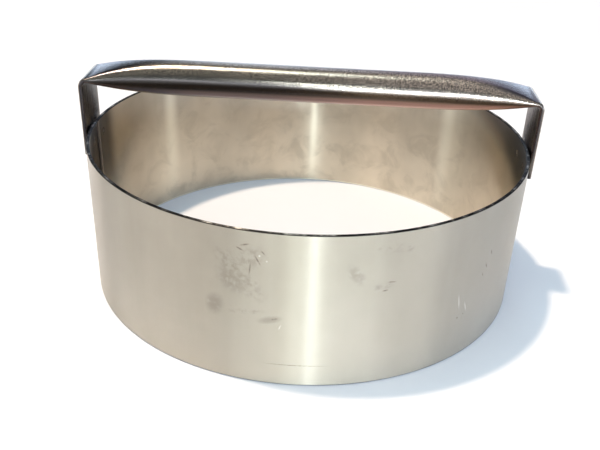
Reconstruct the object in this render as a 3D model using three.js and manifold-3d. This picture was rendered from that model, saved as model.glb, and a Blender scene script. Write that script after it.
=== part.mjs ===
// Pizza base cutter: a steel ring that stamps round dough bases, carried by one tube handle.
// Millimetres, +Z up. The ring stands on z = 0 round the origin, and the handle runs along X.

import * as THREE from 'three';
import { mergeVertices } from 'three/addons/utils/BufferGeometryUtils.js';
import Module from 'manifold-3d';

// Ring: one strip of sheet, rolled and butt welded
const RING_DIAMETER = 203;
const RING_HEIGHT = 69;
const RING_WALL = 1.5;
const SEAM_WIDTH = 1.8;

// Handle: one tube, its ends pressed flat and bent down as legs
const TUBE_DIAMETER = 16;
const TUBE_WALL = 0.9;
const PRESSED_SLIT = 0.3;
const GRIP_HEIGHT = 92;
const TAPER_LENGTH = 56;
const BEND_RADIUS = 3;
const LEG_OVERLAP = 12;

// Spot welds: a pair side by side on each leg
const WELD_DIAMETER = 4;
const WELD_EDGE_DISTANCE = 4.4;
const WELD_END_DISTANCE = 4.5;

// Clearances between neighbouring pieces
const LEG_CLEARANCE = 0.3;
const WELD_CLEARANCE = 0.3;
const SEAM_CLEARANCE = 0.3;

// Fineness of the faceted surfaces
const RING_SEGMENTS = 120;
const WELD_SEGMENTS = 16;
const SIDE_STEPS = 12;
const BEND_STEPS = 5;
const TAPER_STEPS = 12;
const TAPER_EASE = 3;
const MERGE_TOLERANCE = 1e-3;

// Sizes that follow from the ones above
const ringRadius = RING_DIAMETER / 2;
const boreRadius = ringRadius - RING_WALL;
const roundHalf = (TUBE_DIAMETER - TUBE_WALL) / 2;
const pressedHalf = (TUBE_WALL + PRESSED_SLIT) / 2;
const legThickness = 2 * TUBE_WALL + PRESSED_SLIT;
const legWidth = 2 * sectionReach(pressedHalf) + 2 * pressedHalf + TUBE_WALL;
const legEnd = RING_HEIGHT - LEG_OVERLAP;
const legInnerFace = ringRadius + LEG_CLEARANCE;
const legOuterFace = legInnerFace + legThickness;
const legMiddle = (legInnerFace + legOuterFace) / 2;
const bendStart = GRIP_HEIGHT - BEND_RADIUS;
const taperStart = legMiddle - BEND_RADIUS;
const weldOffset = legWidth / 2 - WELD_EDGE_DISTANCE;
const weldHeight = legEnd + WELD_END_DISTANCE;

const wasm = await Module();
wasm.setup();

// Finishes
const satinSteel = { color: 0xaaa69c, roughness: 0.34, metalness: 1 };
const polishedTube = { color: 0x9a9488, roughness: 0.24, metalness: 1 };
const weldSteel = { color: 0x5c564f, roughness: 0.5, metalness: 1 };

// Booleans
function toSolid(geometry) {
  const bare = geometry.clone();
  bare.deleteAttribute('normal');
  bare.deleteAttribute('uv');
  const merged = mergeVertices(bare, MERGE_TOLERANCE);
  const vertProperties = Float32Array.from(merged.attributes.position.array);
  const triVerts = Uint32Array.from(merged.index.array);
  return new wasm.Manifold(new wasm.Mesh({ numProp: 3, vertProperties, triVerts }));
}

function toGeometry(solid) {
  const mesh = solid.getMesh();
  const geometry = new THREE.BufferGeometry();
  geometry.setAttribute('position', new THREE.BufferAttribute(mesh.vertProperties, 3));
  geometry.setIndex(new THREE.BufferAttribute(mesh.triVerts, 1));
  geometry.computeVertexNormals();
  return geometry;
}

function cut(geometry, cutters) {
  let solid = toSolid(geometry);
  for (const cutter of cutters) {
    solid = solid.subtract(toSolid(cutter));
  }
  return toGeometry(solid);
}

// Flattened tube: half the straight run that keeps the tube's girth when pressed to a half height
function sectionReach(half) {
  return (Math.PI / 2) * (roundHalf - half);
}

// One closed outline of the pressed tube, as pairs of width and height
function sectionOutline(half, offset) {
  const step = Math.PI / SIDE_STEPS;
  const radius = (half + offset) / Math.cos(step / 2);
  const reach = sectionReach(half);
  const points = [];
  for (const side of [1, -1]) {
    for (let i = 0; i < SIDE_STEPS; i += 1) {
      const angle = -Math.PI / 2 + (i + 0.5) * step;
      const across = reach + radius * Math.cos(angle);
      points.push(new THREE.Vector2(side * across, side * radius * Math.sin(angle)));
    }
  }
  return points;
}

// Stations along the handle from the left leg's end to the right one's
function rightHalfStations() {
  const stations = [];
  for (let i = 0; i <= TAPER_STEPS; i += 1) {
    const run = (i / TAPER_STEPS) * TAPER_LENGTH;
    const rounding = 1 - (i / TAPER_STEPS) ** TAPER_EASE;
    const half = pressedHalf + (roundHalf - pressedHalf) * rounding;
    stations.push({ x: taperStart - TAPER_LENGTH + run, z: GRIP_HEIGHT, turn: 0, half });
  }
  for (let i = 1; i <= BEND_STEPS; i += 1) {
    const turn = (i / BEND_STEPS) * (Math.PI / 2);
    const x = taperStart + BEND_RADIUS * Math.sin(turn);
    const z = bendStart + BEND_RADIUS * Math.cos(turn);
    stations.push({ x, z, turn, half: pressedHalf });
  }
  stations.push({ x: legMiddle, z: legEnd, turn: Math.PI / 2, half: pressedHalf });
  return stations;
}

function handleStations() {
  const right = rightHalfStations();
  const left = right.map((station) => ({ ...station, x: -station.x, turn: -station.turn }));
  return [...left.reverse(), ...right];
}

function placeOutline(station, outline) {
  const outX = Math.sin(station.turn);
  const outZ = Math.cos(station.turn);
  return outline.map(
    (point) => new THREE.Vector3(station.x + point.y * outX, point.x, station.z + point.y * outZ),
  );
}

// Handle: an outer skin, an inner skin and a ring-shaped cap at each end
function hollowLoft(stations) {
  const count = 2 * SIDE_STEPS;
  const positions = [];
  for (const offset of [TUBE_WALL / 2, -TUBE_WALL / 2]) {
    for (const station of stations) {
      for (const point of placeOutline(station, sectionOutline(station.half, offset))) {
        positions.push(point.x, point.y, point.z);
      }
    }
  }
  const last = stations.length - 1;
  const outer = (row, i) => row * count + (i % count);
  const inner = (row, i) => (stations.length + row) * count + (i % count);
  const index = [];
  const quad = (a, b, c, d) => index.push(a, b, c, a, c, d);
  for (let i = 0; i < count; i += 1) {
    for (let row = 0; row < last; row += 1) {
      quad(outer(row, i), outer(row, i + 1), outer(row + 1, i + 1), outer(row + 1, i));
      quad(inner(row, i), inner(row + 1, i), inner(row + 1, i + 1), inner(row, i + 1));
    }
    quad(outer(0, i), inner(0, i), inner(0, i + 1), outer(0, i + 1));
    quad(outer(last, i), outer(last, i + 1), inner(last, i + 1), inner(last, i));
  }
  const geometry = new THREE.BufferGeometry();
  geometry.setAttribute('position', new THREE.Float32BufferAttribute(positions, 3));
  geometry.setIndex(index);
  geometry.computeVertexNormals();
  return geometry;
}

// Spot welds: a slug from the ring's bore to the leg's outer face
function weldSlug(spot, diameter, overrun) {
  const bore = Math.sqrt(boreRadius ** 2 - spot.y ** 2);
  const length = legOuterFace - bore + 2 * overrun;
  const radius = diameter / 2;
  const geometry = new THREE.CylinderGeometry(radius, radius, length, WELD_SEGMENTS);
  geometry.rotateZ(Math.PI / 2);
  geometry.translate((spot.side * (legOuterFace + bore)) / 2, spot.y, weldHeight);
  return geometry;
}

// Ring seam: a bar of weld metal as thick and as high as the sheet
function seamBar(width, overrun) {
  const thickness = RING_WALL + 2 * overrun;
  const height = RING_HEIGHT + 2 * overrun;
  const geometry = new THREE.BoxGeometry(thickness, width, height);
  geometry.translate(-(ringRadius + boreRadius) / 2, 0, RING_HEIGHT / 2);
  return geometry;
}

function ringBand() {
  const profile = [
    new THREE.Vector2(ringRadius, 0),
    new THREE.Vector2(ringRadius, RING_HEIGHT),
    new THREE.Vector2(boreRadius, RING_HEIGHT),
    new THREE.Vector2(boreRadius, 0),
    new THREE.Vector2(ringRadius, 0),
  ];
  const geometry = new THREE.LatheGeometry(profile, RING_SEGMENTS);
  geometry.rotateX(Math.PI / 2);
  return geometry;
}

const group = new THREE.Group();

function addPiece(name, geometry, finish) {
  const mesh = new THREE.Mesh(geometry, new THREE.MeshStandardMaterial(finish));
  mesh.name = name;
  group.add(mesh);
}

const weldSpots = [
  { name: 'spot_weld_left_front', side: -1, y: -weldOffset },
  { name: 'spot_weld_left_rear', side: -1, y: weldOffset },
  { name: 'spot_weld_right_front', side: 1, y: -weldOffset },
  { name: 'spot_weld_right_rear', side: 1, y: weldOffset },
];
const weldHoles = weldSpots.map((spot) => weldSlug(spot, WELD_DIAMETER + 2 * WELD_CLEARANCE, RING_WALL));
const seamSlot = seamBar(SEAM_WIDTH + 2 * SEAM_CLEARANCE, RING_WALL);

addPiece('cutting_ring', cut(ringBand(), [...weldHoles, seamSlot]), satinSteel);
addPiece('ring_seam_weld', seamBar(SEAM_WIDTH, 0), satinSteel);
addPiece('handle_tube', cut(hollowLoft(handleStations()), weldHoles), polishedTube);
for (const spot of weldSpots) {
  addPiece(spot.name, weldSlug(spot, WELD_DIAMETER, 0), weldSteel);
}

export default group;
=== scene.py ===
import math

import bmesh
import bpy
from mathutils import Matrix, Vector


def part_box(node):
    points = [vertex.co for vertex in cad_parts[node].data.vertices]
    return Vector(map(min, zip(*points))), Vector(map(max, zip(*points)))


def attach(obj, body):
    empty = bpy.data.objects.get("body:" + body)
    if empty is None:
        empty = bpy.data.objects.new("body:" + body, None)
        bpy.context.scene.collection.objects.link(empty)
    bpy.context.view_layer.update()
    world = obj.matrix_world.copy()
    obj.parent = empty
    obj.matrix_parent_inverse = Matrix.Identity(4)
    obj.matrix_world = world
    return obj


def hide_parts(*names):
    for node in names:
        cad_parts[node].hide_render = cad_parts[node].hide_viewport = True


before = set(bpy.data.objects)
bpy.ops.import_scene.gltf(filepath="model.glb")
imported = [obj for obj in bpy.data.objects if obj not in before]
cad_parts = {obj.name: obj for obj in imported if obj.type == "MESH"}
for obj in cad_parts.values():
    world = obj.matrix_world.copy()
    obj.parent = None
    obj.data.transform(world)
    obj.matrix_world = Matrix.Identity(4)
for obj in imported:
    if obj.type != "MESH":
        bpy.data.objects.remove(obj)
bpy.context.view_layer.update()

# Places read from the frame, in metres
_, ring_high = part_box("cutting_ring")
handle_low, handle_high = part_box("handle_tube")
seam_low, seam_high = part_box("ring_seam_weld")
WELD_NODES = (
    "spot_weld_left_front",
    "spot_weld_left_rear",
    "spot_weld_right_front",
    "spot_weld_right_rear",
)

# Ring: rolled sheet with broken edges
RING_RADIUS = ring_high[1]
RING_HEIGHT = ring_high[2]
SHEET = 0.0015
BORE_RADIUS = RING_RADIUS - SHEET
EDGE_BREAK = 0.00022
EDGE_BREAK_STEPS = 3
EDGE_SUPPORT = 0.0008
RING_STEPS = 240

# Handle: one tube, pressed flat and bent down at both ends
TUBE_DIAMETER = 0.016
TUBE_WALL = 0.0009
PRESSED_SLIT = 0.0003
BEND_RADIUS = 0.003
TAPER_LENGTH = 0.056
TAPER_EASE = 3.0
SIDE_STEPS = 32
BEND_STEPS = 10
TAPER_STEPS = 36
GRIP_STEPS = 12
LEG_STEPS = 10

# Where the legs' streaks and painted shade and the pressed ends' painted shade begin: back from the leg's
# middle, and below the grip's middle
LEG_START = 0.004
LEG_FULL = 0.001
PRESSED_START = 0.034
PRESSED_FULL = 0.012
PRESSED_LOWEST = 0.006
PRESSED_LOW = 0.002

# Seam: a crowned, rippled bead
SEAM_CROWN = 0.00008
SEAM_RIPPLE = 0.00004
SEAM_PITCH = 0.0021
SEAM_STEPS = 96

# Spot welds: a proud rim round a pit, with shares of the pit's or the weld's radius and of the rise
WELD_PROUD = 0.00006
WELD_STAND = 0.00014
WELD_PIT_RADIUS = 0.0007
WELD_PIT_DEPTH = 0.00025
WELD_PIT_FLOOR = 0.7
WELD_LIP_RISE = 0.5
WELD_CREST = 0.62
WELD_SHOULDER = 0.88
WELD_SHOULDER_RISE = 0.6
WELD_STEPS = 32
PIT_BURN = 1.0
LIP_BURN = 0.75
CREST_BURN = 0.25
SHOULDER_BURN = 0.1
RIM_BURN = 0.0
BORE_END_BURN = 0.8

# Points nearer than this are one point
TOUCHING = 1e-7
TOUCHING_DIGITS = 7

# Sizes that follow from the ones above
round_half = (TUBE_DIAMETER - TUBE_WALL) / 2
pressed_half = (TUBE_WALL + PRESSED_SLIT) / 2
grip_height = handle_high[2] - TUBE_DIAMETER / 2
leg_middle = handle_high[0] - pressed_half - TUBE_WALL / 2 - WELD_STAND
leg_end = handle_low[2]

# Camera fitted to the photograph
CAMERA_PLACE = Vector((0.0100, -0.3563, 0.2068))
CAMERA_YAW = math.radians(-1.77)
CAMERA_PITCH = math.radians(31.915)
CAMERA_ROLL = math.radians(2.447)
CAMERA_SENSOR = 36.0
CAMERA_LENS = 48.05
CAMERA_SHIFT_UP = 0.1
CAMERA_NEAR = 0.01

# Floor
FLOOR_SIZE = 8.0
FLOOR_TILES = 8
FLOOR_DROP = 0.0002
FLOOR_COLOUR = (0.88, 0.88, 0.87, 1.0)
FLOOR_SHADE = 0.985
FLOOR_ROUGHNESS = 0.9
FLOOR_GLOW = (0.0, 0.025, 0.085, 1.0)
FAR_FLOOR_GLOW = (0.88, 0.92, 0.97, 1.0)
FAR_FLOOR_START = 0.4
FAR_FLOOR_FULL = 2.4

# Lamp that throws the shadow, the point that the softboxes face, and where they stand
HIGH_LAMP_PLACE = Vector((-0.766, 0.163, 2.78))
HIGH_LAMP_WIDTH = 0.20
HIGH_LAMP_POWER = 63.0
HIGH_LAMP_COLOUR = (1.0, 0.81, 0.645)
LAMP_TARGET = Vector((0.0, 0.0, 0.04))
PANEL_RISE = 4.0
OVERHEAD = Vector((-0.12, 0.03, 1.0)).normalized()

# Light of the room
ROOM_DIM = (0.08, 0.09, 0.10, 1.0)
ROOM_PALE = (2.0, 2.4, 3.0, 1.0)
CANOPY_LEFT = (0.45, 0.48, 0.45, 1.0)
CANOPY_RIGHT = (0.70, 0.72, 0.75, 1.0)
WINDOW_LEFT = (1.5, 1.75, 2.1, 1.0)
WINDOW_RIGHT = (0.50, 0.50, 0.66, 1.0)
UPPER_SIDES = (0.40, 0.42, 0.44, 1.0)

# Colours of the ring's sheet
STEEL = (0.55, 0.49, 0.40, 1.0)
STEEL_DULL = (0.40, 0.35, 0.275, 1.0)
STEEL_BRIGHT = (0.72, 0.68, 0.60, 1.0)
RUBBED_STEEL = (0.33, 0.285, 0.225, 1.0)
# Painted light: the bore, the same sheet as the outside, painted lighter
BORE_LIT_STEEL = (0.82, 0.73, 0.59, 1.0)
# Painted highlight colour for the bore's stripes and its foot
HIGHLIGHT_STEEL = (0.95, 0.90, 0.76, 1.0)
GRIME = (0.18, 0.14, 0.11, 1.0)
# The sheared edges' own dullness, painted near-black as shade
SHEARED_SHADE = (0.022, 0.020, 0.019, 1.0)
# Dark for the seam's heat tint and for the painted shade on the bore close to the legs
SCORCH_AND_SHADE_DARK = (0.085, 0.072, 0.066, 1.0)
BURNT = (0.035, 0.028, 0.026, 1.0)
# Brown for heat tint by the seam and the welds, and for the painted shade on the bore near the legs
HEAT_TINT_AND_SHADE_BROWN = (0.50, 0.38, 0.255, 1.0)

# Colours of the tube
TUBE_STEEL = (0.29, 0.255, 0.215, 1.0)
# Warm colour for the real handling film and for the painted light on the tube's right half
TUBE_WARM = (0.60, 0.49, 0.41, 1.0)
TUBE_PITS = (0.13, 0.11, 0.092, 1.0)
# Painted shade below the tube's front: dark at the left, brown at the right
UNDER_SHADE_DARK = (0.024, 0.021, 0.021, 1.0)
UNDER_SHADE_BROWN = (0.075, 0.060, 0.050, 1.0)
# Painted reflection on the tube's lowest part: plum at the left, salmon at the right
UNDER_REFLECTION_PLUM = (0.17, 0.125, 0.115, 1.0)
UNDER_REFLECTION_SALMON = (0.40, 0.235, 0.19, 1.0)
# Painted shade on the tops of the pressed ends
PRESSED_TOP_SHADE = (0.085, 0.080, 0.092, 1.0)
# Painted shade on the legs' inner faces
LEG_INNER_SHADE = (0.034, 0.030, 0.032, 1.0)

# Stretch of the patterns along each axis
WIPED_UPWARDS = (1.0, 0.45, 1.0)
ROLLED_UPWARDS = (1.0, 0.02, 1.0)
GRAIN_ROUND_RING = (0.04, 1.0, 1.0)
ROUND_RING_ONLY = (1.0, 0.0, 1.0)
FILED_ACROSS = (0.15, 1.0, 1.0)
GROUND_ROUND_TUBE = (1.0, 0.06, 0.06)
STREAKED_DOWN_LEG = (1.0, 1.0, 0.03)

# Marks on the ring's outside: distance round the ring and height in mm, half sizes in mm, tilt, cover
SMEARS = (
    ((-183.0, 47.0), (9.5, 7.0), 0.5, 0.16),
    ((-191.0, 34.5), (5.0, 6.5), 0.2, 0.24),
    ((-176.0, 58.0), (8.0, 6.0), -0.6, 0.08),
    ((-181.0, 50.0), (19.0, 6.5), 0.85, 0.08),
    ((-168.5, 31.0), (6.5, 2.2), -0.25, 0.26),
    ((-178.0, 33.5), (9.0, 1.6), -0.12, 0.06),
    ((-136.0, 52.0), (7.0, 3.5), 0.9, 0.14),
    ((-125.0, 46.0), (6.0, 2.0), -0.1, 0.10),
    ((-120.0, 62.0), (14.0, 3.0), 0.05, 0.02),
)
DARK_SCRATCHES = (
    ((-178.5, 63.0), (2.4, 0.5), -0.3, 0.22),
    ((-180.5, 61.0), (2.0, 0.5), 0.4, 0.22),
    ((-173.5, 57.0), (0.5, 3.0), -0.5, 0.2),
    ((-176.5, 53.0), (0.45, 3.4), 0.1, 0.18),
    ((-171.5, 60.5), (1.6, 0.4), 0.8, 0.2),
    ((-167.0, 31.5), (2.4, 0.5), -0.3, 0.06),
    ((-121.5, 47.5), (2.2, 0.4), 0.1, 0.22),
    ((-124.0, 44.0), (1.6, 0.45), -0.1, 0.2),
    ((-67.5, 45.5), (0.5, 1.9), -0.45, 0.3),
    ((-70.0, 40.0), (0.5, 1.7), -0.45, 0.3),
    ((-72.0, 36.5), (0.4, 1.0), -0.3, 0.25),
    ((-85.5, 20.4), (0.6, 0.6), 0.0, 0.3),
    ((-82.0, 21.2), (0.4, 0.4), 0.0, 0.3),
    ((-158.0, 9.9), (17.0, 0.28), 0.0, 0.16),
)
BRIGHT_SCRATCHES = (
    ((-86.0, 28.5), (0.45, 5.0), -0.2, 0.3),
    ((-81.2, 24.5), (0.4, 3.6), -0.35, 0.28),
    ((-164.5, 28.0), (0.35, 1.6), 0.4, 0.2),
    ((-172.8, 59.0), (0.5, 0.5), 0.0, 0.3),
    ((-170.0, 57.0), (0.4, 0.4), 0.0, 0.3),
)

# Painted highlights in the bore, bright stripes standing in for lamp reflections: distance round the ring
# and half width, in mm
BORE_HIGHLIGHT_BANDS = ((250.0, 6.5), (159.5, 3.2), (75.0, 7.0))
MM = 0.001

# Sockets of the Mix node that carry colour
MIX_FIRST = 6
MIX_SECOND = 7
MIX_RESULT = 2


# Node helpers
def feed(tree, source, socket):
    """Links a socket, or sets a plain value on it."""
    if isinstance(source, bpy.types.NodeSocket):
        tree.links.new(source, socket)
    else:
        socket.default_value = source


def node(tree, kind, inputs=(), **settings):
    made = tree.nodes.new(kind)
    for key, value in settings.items():
        setattr(made, key, value)
    for place, source in enumerate(inputs):
        feed(tree, source, made.inputs[place])
    return made


def math_node(tree, operation, *inputs):
    return node(tree, "ShaderNodeMath", inputs, operation=operation).outputs[0]


def vector_node(tree, operation, *inputs):
    return node(tree, "ShaderNodeVectorMath", inputs, operation=operation)


def times(tree, first, *others):
    product = first
    for other in others:
        product = math_node(tree, "MULTIPLY", product, other)
    return product


def times_plus(tree, value, factor, base):
    """The value times the factor, plus the base."""
    return math_node(tree, "MULTIPLY_ADD", value, factor, base)


def either(tree, first, second):
    """The stronger of two masks."""
    return math_node(tree, "MAXIMUM", first, second)


def without(tree, mask, whole=1.0):
    """What the mask leaves of the whole."""
    return math_node(tree, "SUBTRACT", whole, mask)


def apart(tree, value, middle):
    """How far a value is from the middle, to either side."""
    return math_node(tree, "ABSOLUTE", math_node(tree, "SUBTRACT", value, middle))


def fade(tree, value, start, full):
    """0 at the start and 1 where full, eased between; the start may be the larger."""
    limits = (value, start, full, 0.0, 1.0)
    return node(tree, "ShaderNodeMapRange", limits, interpolation_type="SMOOTHSTEP").outputs[0]


def spread(tree, value, low, high):
    """A 0 to 1 value stretched to run from low to high."""
    return node(tree, "ShaderNodeMapRange", (value, 0.0, 1.0, low, high)).outputs[0]


def blend_colour(tree, factor, first, second):
    made = node(tree, "ShaderNodeMix", data_type="RGBA")
    feed(tree, factor, made.inputs["Factor"])
    feed(tree, first, made.inputs[MIX_FIRST])
    feed(tree, second, made.inputs[MIX_SECOND])
    return made.outputs[MIX_RESULT]


def tint(tree, colour, mask, towards, strength):
    """A colour taken towards another where the mask says, at most as far as the strength."""
    return blend_colour(tree, times(tree, mask, strength), colour, towards)


def noise(tree, place, scale, detail, roughness, distortion=0.0):
    made = node(tree, "ShaderNodeTexNoise")
    feed(tree, place, made.inputs["Vector"])
    feed(tree, scale, made.inputs["Scale"])
    made.inputs["Detail"].default_value = detail
    made.inputs["Roughness"].default_value = roughness
    made.inputs["Distortion"].default_value = distortion
    return made.outputs[0]


def stretched(tree, place, sizes):
    return vector_node(tree, "MULTIPLY", place, sizes).outputs[0]


def new_group(name, inputs, outputs):
    tree = bpy.data.node_groups.new(name, "ShaderNodeTree")
    for title, kind in inputs:
        tree.interface.new_socket(name=title, in_out="INPUT", socket_type=kind)
    for title, kind in outputs:
        tree.interface.new_socket(name=title, in_out="OUTPUT", socket_type=kind)
    entry = tree.nodes.new("NodeGroupInput")
    leave = tree.nodes.new("NodeGroupOutput")
    return tree, entry.outputs, leave.inputs


def use_group(tree, group, **inputs):
    made = tree.nodes.new("ShaderNodeGroup")
    made.node_tree = group
    for title, source in inputs.items():
        feed(tree, source, made.inputs[title.replace("_", " ")])
    return made.outputs


# Shared surface effects
def make_unrolled_sheet():
    """The ring's sheet laid flat: place round the ring and up it, outer side, and depth from the bore."""
    group, _, leave = new_group(
        "unrolled_sheet",
        (),
        (("Place", "NodeSocketVector"), ("Outside", "NodeSocketFloat"), ("Depth", "NodeSocketFloat")),
    )
    where = node(group, "ShaderNodeTexCoord").outputs["Object"]
    axes = node(group, "ShaderNodeSeparateXYZ", (where,)).outputs
    turn = math_node(group, "ARCTAN2", axes[1], axes[0])
    round_ring = times(group, turn, RING_RADIUS)
    flat = node(group, "ShaderNodeCombineXYZ", (round_ring, axes[2])).outputs[0]
    level = node(group, "ShaderNodeCombineXYZ", (axes[0], axes[1])).outputs[0]
    radius = vector_node(group, "LENGTH", level).outputs["Value"]
    depth = math_node(group, "SUBTRACT", radius, BORE_RADIUS)
    outside = math_node(group, "GREATER_THAN", depth, SHEET / 2)
    group.links.new(flat, leave["Place"])
    group.links.new(outside, leave["Outside"])
    group.links.new(depth, leave["Depth"])
    return group


def make_rubbed_patch():
    """A smeared or scratched oval patch on the flat sheet, broken up by grain."""
    group, entry, leave = new_group(
        "rubbed_patch",
        (
            ("Place", "NodeSocketVector"),
            ("Centre", "NodeSocketVector"),
            ("Half Size", "NodeSocketVector"),
            ("Tilt", "NodeSocketFloat"),
            ("Grain", "NodeSocketFloat"),
            ("Cover", "NodeSocketFloat"),
        ),
        (("Mask", "NodeSocketFloat"),),
    )
    from_centre = vector_node(group, "SUBTRACT", entry["Place"], entry["Centre"]).outputs[0]
    turned = node(group, "ShaderNodeVectorRotate", rotation_type="Z_AXIS")
    group.links.new(from_centre, turned.inputs["Vector"])
    group.links.new(entry["Tilt"], turned.inputs["Angle"])
    share = vector_node(group, "DIVIDE", turned.outputs[0], entry["Half Size"]).outputs[0]
    reach = vector_node(group, "LENGTH", share).outputs["Value"]
    oval = fade(group, reach, start=1.0, full=0.25)
    speckle = noise(group, entry["Place"], scale=entry["Grain"], detail=4.0, roughness=0.6)
    lifted = math_node(group, "ADD", speckle, entry["Cover"])
    broken = fade(group, lifted, start=0.5, full=0.72)
    group.links.new(times(group, oval, broken), leave["Mask"])
    return group


def make_handling_film():
    """Cloudy wiped film that handling leaves on bare steel, as a 0 to 1 value."""
    group, entry, leave = new_group(
        "handling_film",
        (("Place", "NodeSocketVector"),),
        (("Film", "NodeSocketFloat"),),
    )
    fine_share = 0.2
    wiped = stretched(group, entry["Place"], WIPED_UPWARDS)
    broad = noise(group, wiped, scale=26.0, detail=2.0, roughness=0.5, distortion=0.3)
    fine = noise(group, entry["Place"], scale=110.0, detail=1.0, roughness=0.5)
    mixed = times_plus(group, fine, fine_share, times(group, broad, 1.0 - fine_share))
    group.links.new(fade(group, mixed, start=0.25, full=0.75), leave["Film"])
    return group


UNROLLED_SHEET = make_unrolled_sheet()
RUBBED_PATCH = make_rubbed_patch()
HANDLING_FILM = make_handling_film()


# Materials
def new_material(name):
    material = bpy.data.materials.new(name)
    material.use_nodes = True
    tree = material.node_tree
    return material, tree, tree.nodes["Principled BSDF"]


def new_steel(name):
    material, tree, shader = new_material(name)
    shader.inputs["Metallic"].default_value = 1.0
    return material, tree, shader


def bump(tree, height, strength, distance):
    made = node(tree, "ShaderNodeBump")
    made.inputs["Strength"].default_value = strength
    made.inputs["Distance"].default_value = distance
    tree.links.new(height, made.inputs["Height"])
    return made.outputs[0]


def brush_along(tree, shader, amount):
    """Stretches the gloss along the piece's own grain map."""
    grain = node(tree, "ShaderNodeTangent", direction_type="UV_MAP", uv_map="grain")
    tree.links.new(grain.outputs[0], shader.inputs["Tangent"])
    shader.inputs["Anisotropic"].default_value = amount


def gather_marks(tree, place, marks, grain):
    """The strongest of several patches at each point."""
    total = None
    for centre, half, tilt, cover in marks:
        mask = use_group(
            tree,
            RUBBED_PATCH,
            Place=place,
            Centre=(centre[0] * MM, centre[1] * MM, 0.0),
            Half_Size=(half[0] * MM, half[1] * MM, 1.0),
            Tilt=tilt,
            Grain=grain,
            Cover=cover,
        )["Mask"]
        total = mask if total is None else either(tree, total, mask)
    return total


def gather_painted_highlights(tree, round_ring):
    """The strongest of the bore's painted highlight stripes at each point."""
    total = None
    for centre, half in BORE_HIGHLIGHT_BANDS:
        band = fade(tree, apart(tree, round_ring, centre * MM), start=half * MM, full=0.0)
        total = band if total is None else either(tree, total, band)
    return total


def leg_shade_on_bore(tree, to_left_leg, to_right_leg, height):
    """Masks for painted shade on the bore: brown near both legs, darker close to them."""
    to_leg = math_node(tree, "MINIMUM", to_left_leg, to_right_leg)
    wide_leg_shade = fade(tree, to_leg, start=0.075, full=0.025)
    left = times(
        tree,
        fade(tree, to_left_leg, start=0.024, full=0.012),
        fade(tree, height, start=0.020, full=0.050),
    )
    slope = -0.35
    right = fade(tree, times_plus(tree, to_right_leg, slope, height), start=0.041, full=0.055)
    return wide_leg_shade, either(tree, left, right)


def sheet_edges(tree, place, height, depth, inside):
    """Masks for the cut edges, their bright parts (burnished streaks on the rim and a painted highlight
    along the bore's foot), and that foot highlight alone.
    """
    from_rim = without(tree, height, RING_HEIGHT)
    from_edge = math_node(tree, "MINIMUM", height, from_rim)
    cut_edge = fade(tree, from_edge, start=0.0004, full=0.00015)
    middle = fade(tree, apart(tree, depth, SHEET / 2), start=0.0006, full=0.0003)
    along_edge = stretched(tree, place, ROUND_RING_ONLY)
    tears = noise(tree, along_edge, scale=90.0, detail=4.0, roughness=0.7)
    bright_edge = times(tree, middle, fade(tree, tears, start=0.45, full=0.72))
    # Painted highlight: a bright line along the bore's foot
    foot_highlight = times(tree, fade(tree, height, start=0.001, full=0.0006), inside)
    return cut_edge, either(tree, bright_edge, foot_highlight), foot_highlight


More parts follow.
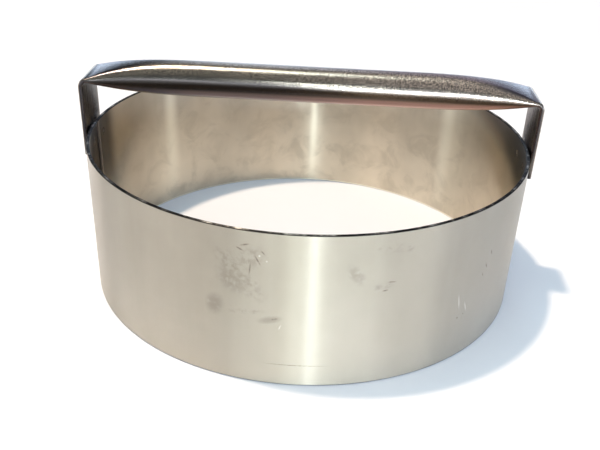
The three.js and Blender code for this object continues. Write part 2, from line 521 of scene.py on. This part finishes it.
def satin_sheet():
    """Rolled satin sheet: film and marks outside; in the bore a base painted lighter, painted highlight
    stripes and painted shade by the legs; painted shade towards the rim; cut edges painted near-black as
    shade.
    """
    material, tree, shader = new_steel("satin_sheet_steel")
    sheet = use_group(tree, UNROLLED_SHEET)
    place = sheet["Place"]
    outside = sheet["Outside"]
    inside = without(tree, outside)
    axes = node(tree, "ShaderNodeSeparateXYZ", (place,)).outputs
    round_ring = axes[0]
    height = axes[1]

    film = use_group(tree, HANDLING_FILM, Place=place)["Film"]
    upright = stretched(tree, place, ROLLED_UPWARDS)
    rolled = noise(tree, upright, scale=240.0, detail=4.0, roughness=0.6)
    smears = times(tree, gather_marks(tree, place, SMEARS, grain=420.0), outside)
    scratches = times(tree, gather_marks(tree, place, DARK_SCRATCHES, grain=900.0), outside)
    glints = times(tree, gather_marks(tree, place, BRIGHT_SCRATCHES, grain=700.0), outside)

    to_right_leg = math_node(tree, "ABSOLUTE", round_ring)
    to_left_leg = without(tree, to_right_leg, math.pi * RING_RADIUS)
    beside_seam = times(tree, fade(tree, to_left_leg, start=0.006, full=0.0008), film)
    # Painted shade on the bore near both legs
    wide_leg_shade, close_leg_shade = leg_shade_on_bore(tree, to_left_leg, to_right_leg, height)
    wide_leg_shade = times(tree, wide_leg_shade, inside)
    close_leg_shade = times(tree, close_leg_shade, inside)
    upwards = fade(tree, height, start=-0.02, full=0.05)
    # Painted highlights: bright stripes in the bore where lamps would reflect
    painted_highlights = times(tree, gather_painted_highlights(tree, round_ring), inside, upwards)
    cloud = noise(tree, place, scale=75.0, detail=3.0, roughness=0.6, distortion=0.6)
    clouded = times(tree, fade(tree, cloud, start=0.44, full=0.72), inside)
    cut_edge, bright_edge, foot_highlight = sheet_edges(tree, place, height, sheet["Depth"], inside)

    # Painted shade: the sheet duller towards the rim, inside and out; the film adds a real cloudiness
    rim_shade = fade(tree, height, start=0.0, full=RING_HEIGHT)
    rim_shade_share = 0.55
    film_dullness = 0.4
    dull = times_plus(tree, rim_shade, rim_shade_share, times(tree, film, film_dullness))
    # The bore's lighter base is painted light
    colour = blend_colour(tree, outside, BORE_LIT_STEEL, STEEL)
    colour = blend_colour(tree, dull, colour, STEEL_DULL)
    colour = tint(tree, colour, rolled, towards=STEEL_BRIGHT, strength=0.12)
    colour = tint(tree, colour, smears, towards=RUBBED_STEEL, strength=0.55)
    colour = tint(tree, colour, scratches, towards=GRIME, strength=0.75)
    colour = blend_colour(tree, glints, colour, STEEL_BRIGHT)
    colour = tint(tree, colour, beside_seam, towards=HEAT_TINT_AND_SHADE_BROWN, strength=0.6)
    colour = tint(tree, colour, clouded, towards=STEEL_DULL, strength=0.40)
    colour = tint(tree, colour, painted_highlights, towards=HIGHLIGHT_STEEL, strength=0.55)
    colour = tint(tree, colour, wide_leg_shade, towards=HEAT_TINT_AND_SHADE_BROWN, strength=0.45)
    colour = tint(tree, colour, close_leg_shade, towards=SCORCH_AND_SHADE_DARK, strength=0.85)
    # Cut edges painted near-black as shade, except bright burnished streaks on the rim and the painted
    # highlight along the bore's foot
    colour = blend_colour(tree, cut_edge, colour, blend_colour(tree, bright_edge, SHEARED_SHADE, STEEL_BRIGHT))
    colour = blend_colour(tree, foot_highlight, colour, HIGHLIGHT_STEEL)
    tree.links.new(colour, shader.inputs["Base Color"])

    pits = noise(tree, place, scale=7000.0, detail=1.0, roughness=0.5)
    pitted = times(tree, fade(tree, pits, start=0.44, full=0.53), outside)
    matt_edge = times(tree, cut_edge, without(tree, bright_edge))
    rough = spread(tree, film, low=0.285, high=0.315)
    for mask, rougher in ((outside, 0.02), (pitted, 0.44), (smears, 0.10), (matt_edge, 0.25)):
        rough = times_plus(tree, mask, rougher, rough)
    tree.links.new(rough, shader.inputs["Roughness"])

    grain = noise(tree, stretched(tree, place, GRAIN_ROUND_RING), scale=3200.0, detail=2.0, roughness=0.6)
    grain_height = 0.25
    scratch_height = -0.8
    relief = times_plus(tree, scratches, scratch_height, times(tree, grain, grain_height))
    tree.links.new(bump(tree, relief, strength=0.12, distance=0.00004), shader.inputs["Normal"])
    brush_along(tree, shader, amount=1.0)
    return material


def drawn_tube():
    """Tube with a sparkling grain and streaked legs; painted shade below its front, on the pressed ends'
    tops and on the legs' inner faces; painted light on its right half and its lowest part.
    """
    material, tree, shader = new_steel("drawn_tube_steel")
    where = node(tree, "ShaderNodeTexCoord").outputs["Object"]
    axes = node(tree, "ShaderNodeSeparateXYZ", (where,)).outputs
    upper = node(tree, "ShaderNodeAttribute", attribute_name="upper").outputs["Fac"]
    film = use_group(tree, HANDLING_FILM, Place=where)["Film"]
    sparkle = noise(tree, where, scale=2000.0, detail=2.0, roughness=0.6)
    down_leg = stretched(tree, where, STREAKED_DOWN_LEG)
    streaks = noise(tree, down_leg, scale=900.0, detail=3.0, roughness=0.6)

    from_middle = math_node(tree, "ABSOLUTE", axes[0])
    on_top = fade(tree, upper, start=0.5, full=0.9)
    leg = fade(tree, from_middle, start=leg_middle - LEG_START, full=leg_middle - LEG_FULL)
    leg_outside = times(tree, leg, on_top)
    leg_inside = math_node(tree, "SUBTRACT", leg, leg_outside)
    grip = without(tree, leg)
    pits = times(tree, fade(tree, sparkle, start=0.62, full=0.38), grip)
    # Painted shade on the tops of the pressed ends
    pressed = times(
        tree,
        fade(tree, from_middle, start=leg_middle - PRESSED_START, full=leg_middle - PRESSED_FULL),
        on_top,
        fade(tree, axes[2], start=grip_height - PRESSED_LOWEST, full=grip_height - PRESSED_LOW),
    )

    # Painted shade and reflection below the tube's front and on its lowest part
    rightwards = fade(tree, axes[0], start=-0.03, full=0.04)
    right_drop = 0.43
    under_shade = fade(tree, times_plus(tree, rightwards, right_drop, upper), start=0.60, full=0.12)
    lowest = fade(tree, upper, start=-0.28, full=-0.60)
    front_side = fade(tree, axes[1], start=0.004, full=-0.001)
    under_shade = either(tree, times(tree, under_shade, front_side), lowest)
    under_shade_colour = blend_colour(
        tree,
        lowest,
        blend_colour(tree, rightwards, UNDER_SHADE_DARK, UNDER_SHADE_BROWN),
        blend_colour(tree, rightwards, UNDER_REFLECTION_PLUM, UNDER_REFLECTION_SALMON),
    )

    # Painted light: the tube's right half lighter and warmer; the film adds a real warm cast
    film_warmth = 0.2
    right_light_share = 0.75
    painted_right_light = fade(tree, axes[0], start=-0.03, full=0.09)
    warm = times_plus(tree, film, film_warmth, times(tree, painted_right_light, right_light_share))
    streaked = blend_colour(tree, fade(tree, streaks, start=0.40, full=0.65), TUBE_STEEL, STEEL_DULL)
    wear = times(tree, streaks, leg)
    colour = blend_colour(tree, warm, TUBE_STEEL, TUBE_WARM)
    colour = blend_colour(tree, pits, colour, TUBE_PITS)
    colour = tint(tree, colour, under_shade, towards=under_shade_colour, strength=0.94)
    colour = tint(tree, colour, pressed, towards=PRESSED_TOP_SHADE, strength=0.92)
    colour = blend_colour(tree, leg_outside, colour, streaked)
    # Painted shade on the legs' inner faces
    colour = tint(tree, colour, leg_inside, towards=LEG_INNER_SHADE, strength=0.9)
    colour = tint(tree, colour, fade(tree, wear, start=0.5, full=0.7), towards=STEEL_DULL, strength=0.25)
    tree.links.new(colour, shader.inputs["Base Color"])

    rough = spread(tree, film, low=0.17, high=0.21)
    for mask, rougher in ((sparkle, 0.06), (wear, 0.12)):
        rough = times_plus(tree, mask, rougher, rough)
    tree.links.new(rough, shader.inputs["Roughness"])

    round_tube = stretched(tree, where, GROUND_ROUND_TUBE)
    rings = noise(tree, round_tube, scale=2600.0, detail=2.0, roughness=0.6)
    ring_height = 0.25
    relief = times_plus(tree, rings, ring_height, times(tree, sparkle, grip))
    tree.links.new(bump(tree, relief, strength=0.8, distance=0.00005), shader.inputs["Normal"])
    brush_along(tree, shader, amount=0.3)
    return material


def burnt_weld():
    """Spot weld: dull or brown heat-tinted rim, darkening to a burnt pit and a burnt end in the bore."""
    material, tree, shader = new_steel("burnt_weld_steel")
    where = node(tree, "ShaderNodeTexCoord").outputs["Object"]
    burn = node(tree, "ShaderNodeAttribute", attribute_name="burn").outputs["Fac"]
    mottle = noise(tree, where, scale=1500.0, detail=4.0, roughness=0.65)
    rim = blend_colour(tree, fade(tree, mottle, start=0.35, full=0.65), STEEL_DULL, HEAT_TINT_AND_SHADE_BROWN)
    tree.links.new(blend_colour(tree, burn, rim, BURNT), shader.inputs["Base Color"])
    burn_rougher = 0.35
    rough = times_plus(tree, burn, burn_rougher, spread(tree, mottle, low=0.3, high=0.45))
    tree.links.new(rough, shader.inputs["Roughness"])
    tree.links.new(bump(tree, mottle, strength=0.3, distance=0.0001), shader.inputs["Normal"])
    return material


def ground_seam():
    """Butt weld ground back: cross scratches and a dark heat tint, as dark as the painted shade on the bore
    beside it.
    """
    material, tree, shader = new_steel("ground_seam_steel")
    place = use_group(tree, UNROLLED_SHEET)["Place"]
    film = use_group(tree, HANDLING_FILM, Place=place)["Film"]
    filing = noise(tree, stretched(tree, place, FILED_ACROSS), scale=4200.0, detail=3.0, roughness=0.6)
    colour = tint(tree, SCORCH_AND_SHADE_DARK, film, towards=HEAT_TINT_AND_SHADE_BROWN, strength=0.12)
    colour = tint(tree, colour, filing, towards=BURNT, strength=0.9)
    tree.links.new(colour, shader.inputs["Base Color"])
    tree.links.new(spread(tree, filing, low=0.40, high=0.60), shader.inputs["Roughness"])
    tree.links.new(bump(tree, filing, strength=0.3, distance=0.00006), shader.inputs["Normal"])
    return material


def pale_table():
    """Plain table top that keeps the shadow; a glow that only eye and steel see evens it out far off."""
    material, tree, shader = new_material("white_table")
    where = node(tree, "ShaderNodeTexCoord").outputs["Object"]
    tone = noise(tree, where, scale=60.0, detail=3.0, roughness=0.5)
    shade = tuple(FLOOR_SHADE * part for part in FLOOR_COLOUR[:3]) + (1.0,)
    tree.links.new(blend_colour(tree, tone, FLOOR_COLOUR, shade), shader.inputs["Base Color"])
    shader.inputs["Roughness"].default_value = FLOOR_ROUGHNESS
    shader.inputs["Specular IOR Level"].default_value = 0.0
    path = node(tree, "ShaderNodeLightPath").outputs
    seen = either(tree, path["Is Camera Ray"], path["Is Glossy Ray"])
    seen = either(tree, seen, path["Is Transmission Ray"])
    away = vector_node(tree, "LENGTH", where).outputs["Value"]
    far = fade(tree, away, start=FAR_FLOOR_START, full=FAR_FLOOR_FULL)
    tree.links.new(blend_colour(tree, far, FLOOR_GLOW, FAR_FLOOR_GLOW), shader.inputs["Emission Color"])
    tree.links.new(seen, shader.inputs["Emission Strength"])
    return material


# Pieces
def make_piece(name, bm, material, nodes):
    mesh = bpy.data.meshes.new(name)
    bm.to_mesh(mesh)
    bm.free()
    mesh.materials.append(material)
    mesh.polygons.foreach_set("use_smooth", [True] * len(mesh.polygons))
    piece = bpy.data.objects.new(name, mesh)
    bpy.context.collection.objects.link(piece)
    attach(piece, "root")
    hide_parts(*nodes)
    return piece


def everything(bm):
    return bm.verts[:] + bm.edges[:] + bm.faces[:]


def slice_level(bm, height):
    """Cuts a level line of edges round the piece."""
    bmesh.ops.bisect_plane(
        bm,
        geom=everything(bm),
        dist=TOUCHING,
        plane_co=(0, 0, height),
        plane_no=(0, 0, 1),
    )


def map_grain(bm, along, across, girth):
    """Grain map: along the grain first, then across it, closed where the surface meets itself."""
    grain = bm.loops.layers.uv.new("grain")
    for face in bm.faces:
        steps = [across(loop.vert) for loop in face.loops]
        wraps = max(steps) - min(steps) > girth / 2
        for loop, step in zip(face.loops, steps):
            turn = girth if wraps and step < girth / 2 else 0.0
            loop[grain].uv = (along(loop.vert), step + turn)


def cutting_ring(material):
    """Sheet's section with broken edges, spun from one side of the seam round to the other."""
    bm = bmesh.new()
    run = bm.verts.layers.float.new("run")
    section = [
        bm.verts.new((-RING_RADIUS, 0.0, 0.0)),
        bm.verts.new((-RING_RADIUS, 0.0, RING_HEIGHT)),
        bm.verts.new((-BORE_RADIUS, 0.0, RING_HEIGHT)),
        bm.verts.new((-BORE_RADIUS, 0.0, 0.0)),
    ]
    bm.faces.new(section)
    bmesh.ops.bevel(
        bm,
        geom=section,
        offset=EDGE_BREAK,
        offset_type="OFFSET",
        affect="VERTICES",
        segments=EDGE_BREAK_STEPS,
        profile=0.5,
        material=-1,
    )
    bm.faces.ensure_lookup_table()
    loops = bm.faces[0].loops
    loop = max(loops, key=lambda corner: (-round(corner.vert.co.z, TOUCHING_DIGITS), -corner.vert.co.x))
    length = 0.0
    for _ in loops:
        loop.vert[run] = length
        length += loop.edge.calc_length()
        loop = loop.link_loop_next
    half_gap = (seam_high[1] - seam_low[1]) / 2 / RING_RADIUS
    bmesh.ops.rotate(bm, verts=bm.verts, cent=(0, 0, 0), matrix=Matrix.Rotation(half_gap, 3, "Z"))
    bmesh.ops.spin(
        bm,
        geom=everything(bm),
        axis=(0, 0, 1),
        cent=(0, 0, 0),
        angle=2 * math.pi - 2 * half_gap,
        steps=RING_STEPS,
        use_merge=False,
    )
    for height in (EDGE_SUPPORT, RING_HEIGHT - EDGE_SUPPORT):
        slice_level(bm, height)
    bmesh.ops.recalc_face_normals(bm, faces=bm.faces)

    def round_ring(vert):
        return RING_RADIUS * math.atan2(vert.co.y, vert.co.x)

    never_closed = 4 * math.pi * RING_RADIUS
    map_grain(bm, lambda vert: vert[run], round_ring, never_closed)
    return make_piece("rolled_ring", bm, material, ["cutting_ring"])


def seam_bead(material):
    """Bar of weld metal in the ring's gap, crowned and faintly rippled on both faces."""
    bm = bmesh.new()
    size = [seam_high[i] - seam_low[i] for i in range(3)]
    centre = [(seam_high[i] + seam_low[i]) / 2 for i in range(3)]
    bmesh.ops.create_cube(bm, size=1.0)
    bmesh.ops.scale(bm, verts=bm.verts, vec=size)
    bmesh.ops.translate(bm, verts=bm.verts, vec=centre)
    upright = [edge for edge in bm.edges if abs(edge.verts[0].co.z - edge.verts[1].co.z) > size[2] / 2]
    bmesh.ops.bevel(
        bm,
        geom=upright,
        offset=EDGE_BREAK,
        offset_type="OFFSET",
        affect="EDGES",
        segments=EDGE_BREAK_STEPS,
        profile=0.5,
        material=-1,
    )
    for i in range(1, SEAM_STEPS):
        slice_level(bm, i * size[2] / SEAM_STEPS)
    for vert in bm.verts:
        if abs(vert.co.y) < size[1] / 2 - EDGE_BREAK / 2:
            side = math.copysign(1.0, vert.co.x - centre[0])
            ripple = SEAM_RIPPLE * math.sin(2 * math.pi * vert.co.z / SEAM_PITCH)
            vert.co.x += side * (SEAM_CROWN + ripple)
    bmesh.ops.recalc_face_normals(bm, faces=bm.faces)
    return make_piece("ring_seam_bead", bm, material, ["ring_seam_weld"])


def handle_stations():
    """From the left leg's end to the right one's: place, lean outwards, half height of the pressed wall."""
    bend_middle = leg_middle - BEND_RADIUS
    bend_height = grip_height - BEND_RADIUS
    grip_end = bend_middle - TAPER_LENGTH
    right = []
    for i in range(1, GRIP_STEPS):
        right.append((grip_end * i / GRIP_STEPS, grip_height, 0.0, round_half))
    for i in range(TAPER_STEPS + 1):
        share = i / TAPER_STEPS
        half = pressed_half + (round_half - pressed_half) * (1 - share ** TAPER_EASE)
        right.append((grip_end + TAPER_LENGTH * share, grip_height, 0.0, half))
    for i in range(1, BEND_STEPS + 1):
        turn = math.pi / 2 * i / BEND_STEPS
        x = bend_middle + BEND_RADIUS * math.sin(turn)
        z = bend_height + BEND_RADIUS * math.cos(turn)
        right.append((x, z, turn, pressed_half))
    for i in range(1, LEG_STEPS + 1):
        z = bend_height + (leg_end - bend_height) * i / LEG_STEPS
        right.append((leg_middle, z, math.pi / 2, pressed_half))
    left = [(-x, z, -turn, half) for x, z, turn, half in reversed(right)]
    return left + [(0.0, grip_height, 0.0, round_half)] + right


def pressed_outline(index, half):
    """Width and height of one point on the pressed tube's outer skin: two half rounds, flats between."""
    reach = math.pi / 2 * (round_half - half)
    radius = half + TUBE_WALL / 2
    side = 1 if index < SIDE_STEPS else -1
    angle = math.pi * ((index % SIDE_STEPS) + 0.5) / SIDE_STEPS - math.pi / 2
    return side * (reach + radius * math.cos(angle)), side * radius * math.sin(angle)


def handle_tube(material):
    """One tube drawn ring by ring along its path, pressed flat towards both legs."""
    bm = bmesh.new()
    index = bm.verts.layers.int.new("index")
    run = bm.verts.layers.float.new("run")
    upper = bm.verts.layers.float.new("upper")
    count = 2 * SIDE_STEPS
    verts = bmesh.ops.create_circle(bm, cap_ends=False, radius=TUBE_DIAMETER, segments=count)["verts"]
    for i, vert in enumerate(verts):
        vert[index] = i
    edges = bm.edges[:]
    length = 0.0
    before = None
    for x, z, turn, half in handle_stations():
        here = Vector((x, 0.0, z))
        if before is not None:
            length += (here - before).length
            grown = bmesh.ops.extrude_edge_only(bm, edges=edges)["geom"]
            verts = [part for part in grown if isinstance(part, bmesh.types.BMVert)]
            fresh = set(verts)
            edges = [part for part in grown if isinstance(part, bmesh.types.BMEdge)]
            edges = [edge for edge in edges if fresh.issuperset(edge.verts)]
        for vert in verts:
            width, rise = pressed_outline(vert[index], half)
            vert.co = here + Vector((rise * math.sin(turn), width, rise * math.cos(turn)))
            vert[run] = length
            vert[upper] = rise / (half + TUBE_WALL / 2)
        before = here
    bmesh.ops.recalc_face_normals(bm, faces=bm.faces)
    girth = math.pi * TUBE_DIAMETER
    map_grain(bm, lambda vert: vert[run], lambda vert: girth * vert[index] / count, girth)
    piece = make_piece("tube_handle", bm, material, ["handle_tube"])
    wall = piece.modifiers.new("tube_wall", "SOLIDIFY")
    wall.thickness = TUBE_WALL
    wall.offset = -1.0
    return piece


def weld_end(face, out, radius):
    """One end of a spot weld from the pit's middle to the rim: place along the weld, radius, burn."""
    pit = face + out * (WELD_PROUD - WELD_PIT_DEPTH)
    return [
        (pit, 0.0, PIT_BURN),
        (pit, WELD_PIT_RADIUS * WELD_PIT_FLOOR, PIT_BURN),
        (face + out * WELD_PROUD * WELD_LIP_RISE, WELD_PIT_RADIUS, LIP_BURN),
        (face + out * WELD_PROUD, radius * WELD_CREST, CREST_BURN),
        (face + out * WELD_PROUD * WELD_SHOULDER_RISE, radius * WELD_SHOULDER, SHOULDER_BURN),
        (face - out * WELD_PROUD, radius, RIM_BURN),
    ]


def spot_weld(node_name, material):
    """Slug through the ring and the leg: a proud squeezed rim at each end round a burnt pit."""
    low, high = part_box(node_name)
    side = math.copysign(1.0, high[0])
    outer = max(abs(low[0]), abs(high[0]))
    inner = min(abs(low[0]), abs(high[0]))
    halfway = (inner + outer) / 2
    radius = (high[2] - low[2]) / 2
    across = (low[1] + high[1]) / 2
    bm = bmesh.new()
    burn = bm.verts.layers.float.new("burn")
    profile = weld_end(outer - WELD_PROUD, 1.0, radius) + weld_end(inner, -1.0, radius)[::-1]
    chain = []
    for x, away, dark in profile:
        vert = bm.verts.new((side * x, away, 0.0))
        vert[burn] = max(dark, BORE_END_BURN) if x < halfway else dark
        chain.append(vert)
    edges = [bm.edges.new(pair) for pair in zip(chain, chain[1:])]
    bmesh.ops.spin(
        bm,
        geom=chain + edges,
        axis=(1, 0, 0),
        cent=(0, 0, 0),
        angle=2 * math.pi,
        steps=WELD_STEPS,
        use_merge=True,
    )
    bmesh.ops.remove_doubles(bm, verts=bm.verts, dist=TOUCHING)
    bmesh.ops.recalc_face_normals(bm, faces=bm.faces)
    bmesh.ops.translate(bm, verts=bm.verts, vec=(0.0, across, (low[2] + high[2]) / 2))
    bore = math.sqrt(BORE_RADIUS ** 2 - across ** 2)
    for vert in bm.verts:
        if abs(vert.co.x) < halfway:
            vert.co.x += side * (math.sqrt(BORE_RADIUS ** 2 - vert.co.y ** 2) - bore)
    return make_piece(node_name + "_mark", bm, material, [node_name])


def table_top(material):
    bm = bmesh.new()
    bmesh.ops.create_grid(bm, x_segments=FLOOR_TILES, y_segments=FLOOR_TILES, size=FLOOR_SIZE / 2)
    bmesh.ops.translate(bm, verts=bm.verts, vec=(0.0, 0.0, -FLOOR_DROP))
    mesh = bpy.data.meshes.new("table_top")
    bm.to_mesh(mesh)
    bm.free()
    mesh.materials.append(material)
    floor = bpy.data.objects.new("table_top", mesh)
    bpy.context.collection.objects.link(floor)


# Camera and light
def photo_camera():
    data = bpy.data.cameras.new("photo_camera")
    data.sensor_width = CAMERA_SENSOR
    data.lens = CAMERA_LENS
    data.shift_y = CAMERA_SHIFT_UP
    data.clip_start = CAMERA_NEAR
    level_share = math.cos(CAMERA_PITCH)
    ahead = Vector((
        math.sin(CAMERA_YAW) * level_share,
        math.cos(CAMERA_YAW) * level_share,
        -math.sin(CAMERA_PITCH),
    ))
    right = Vector((math.cos(CAMERA_YAW), -math.sin(CAMERA_YAW), 0.0))
    above = right.cross(ahead)
    level = math.cos(CAMERA_ROLL) * right + math.sin(CAMERA_ROLL) * above
    upright = math.cos(CAMERA_ROLL) * above - math.sin(CAMERA_ROLL) * right
    turn = Matrix((level, upright, -ahead)).transposed().to_4x4()
    camera = bpy.data.objects.new("photo_camera", data)
    camera.matrix_world = Matrix.Translation(CAMERA_PLACE) @ turn
    bpy.context.collection.objects.link(camera)
    bpy.context.scene.camera = camera


def hang_lamp(name, shape, place, aim, width, power, colour):
    """Area lamp at a place, its back towards the aim, hidden from the camera."""
    data = bpy.data.lights.new(name, "AREA")
    data.shape = shape
    data.size = width
    data.energy = power
    data.color = colour
    lamp = bpy.data.objects.new(name, data)
    lamp.location = place
    lamp.rotation_euler = aim.to_track_quat("Z", "Y").to_euler()
    lamp.visible_camera = False
    bpy.context.collection.objects.link(lamp)
    return data


def softbox(name, aim, distance, width, height, power, colour):
    """Area lamp at a distance from the ring, in the direction given, facing it."""
    place = LAMP_TARGET + aim * distance
    data = hang_lamp(name, "RECTANGLE", place, aim, width, power, colour)
    data.size_y = height


def bearing(azimuth, elevation):
    """Direction from the ring: azimuth to the right of the front, elevation above the table, in degrees."""
    turn = math.radians(azimuth)
    rise = math.radians(elevation)
    level_share = math.cos(rise)
    aim = Vector((math.sin(turn) * level_share, -math.cos(turn) * level_share, math.sin(rise)))
    return aim.normalized()


def studio_light():
    """High warm lamp for a clear shadow, low cool panels for the ring's wall, and one panel overhead."""
    hang_lamp("high_lamp", "DISK", HIGH_LAMP_PLACE, HIGH_LAMP_PLACE, HIGH_LAMP_WIDTH, HIGH_LAMP_POWER,
              HIGH_LAMP_COLOUR)
    softbox("low_lamp", bearing(6.5, 4.5), distance=0.8, width=0.05, height=0.12,
            power=1.33, colour=(0.76, 0.90, 1.0))
    softbox("near_lamp", bearing(-2.2, 22.0), distance=0.45, width=0.024, height=0.12,
            power=0.33, colour=(0.84, 0.97, 1.0))
    softbox("left_panel", bearing(-66.0, PANEL_RISE), distance=1.0, width=1.35, height=0.16,
            power=3.05, colour=(0.92, 0.95, 1.0))
    softbox("front_left_panel", bearing(-19.0, PANEL_RISE), distance=1.0, width=0.36, height=0.14,
            power=1.7, colour=(0.83, 0.92, 1.0))
    softbox("front_right_panel", bearing(19.0, PANEL_RISE), distance=1.0, width=0.58, height=0.16,
            power=3.9, colour=(0.77, 0.90, 1.0))
    softbox("right_panel", bearing(49.0, PANEL_RISE), distance=1.0, width=0.58, height=0.16,
            power=2.6, colour=(0.75, 0.87, 1.0))
    softbox("right_card", bearing(86.0, PANEL_RISE), distance=0.9, width=0.75, height=0.16,
            power=1.6, colour=(0.57, 0.73, 1.0))
    softbox("back_left_panel", bearing(-124.0, PANEL_RISE), distance=1.0, width=0.48, height=0.16,
            power=0.95, colour=(1.0, 0.93, 0.92))
    softbox("back_right_panel", bearing(124.0, PANEL_RISE), distance=1.0, width=0.48, height=0.16,
            power=0.65, colour=(0.74, 0.84, 1.0))
    softbox("overhead_panel", OVERHEAD, distance=1.0, width=0.30, height=0.36,
            power=1.8, colour=(0.72, 0.96, 1.0))


def studio_world():
    """Dim room, pale at table height, with a canopy overhead, a window behind and lighter upper sides."""
    world = bpy.data.worlds.new("studio")
    world.use_nodes = True
    tree = world.node_tree
    tree.nodes.clear()
    way = node(tree, "ShaderNodeTexCoord").outputs["Generated"]
    right, behind, above = node(tree, "ShaderNodeSeparateXYZ", (way,)).outputs
    sideways = math_node(tree, "ABSOLUTE", right)
    leftwards = fade(tree, right, start=0.08, full=-0.08)
    horizon = fade(tree, above, start=0.14, full=0.07)
    room = blend_colour(tree, horizon, ROOM_DIM, ROOM_PALE)
    canopy = times(
        tree,
        fade(tree, sideways, start=0.34, full=0.24),
        fade(tree, above, start=0.42, full=0.62),
        fade(tree, behind, start=0.62, full=0.40),
    )
    room = blend_colour(tree, canopy, room, blend_colour(tree, leftwards, CANOPY_RIGHT, CANOPY_LEFT))
    window = times(
        tree,
        fade(tree, right, start=0.46, full=0.34),
        fade(tree, behind, start=0.40, full=0.60),
        fade(tree, right, start=-0.24, full=-0.15),
        fade(tree, above, start=0.12, full=0.22),
        fade(tree, above, start=0.88, full=0.78),
    )
    room = blend_colour(tree, window, room, blend_colour(tree, leftwards, WINDOW_RIGHT, WINDOW_LEFT))
    upper_sides = times(
        tree,
        fade(tree, sideways, start=0.34, full=0.46),
        fade(tree, behind, start=0.30, full=0.10),
        fade(tree, above, start=0.18, full=0.32),
        fade(tree, above, start=0.92, full=0.75),
    )
    room = blend_colour(tree, upper_sides, room, UPPER_SIDES)
    light = node(tree, "ShaderNodeBackground", (room,)).outputs[0]
    tree.links.new(light, node(tree, "ShaderNodeOutputWorld").inputs["Surface"])
    bpy.context.scene.world = world


photo_camera()
table_top(pale_table())
studio_light()
studio_world()
bpy.context.scene.view_settings.view_transform = "Standard"

cutting_ring(satin_sheet())
seam_bead(ground_seam())
handle_tube(drawn_tube())
weld_finish = burnt_weld()
for weld_node in WELD_NODES:
    spot_weld(weld_node, weld_finish)
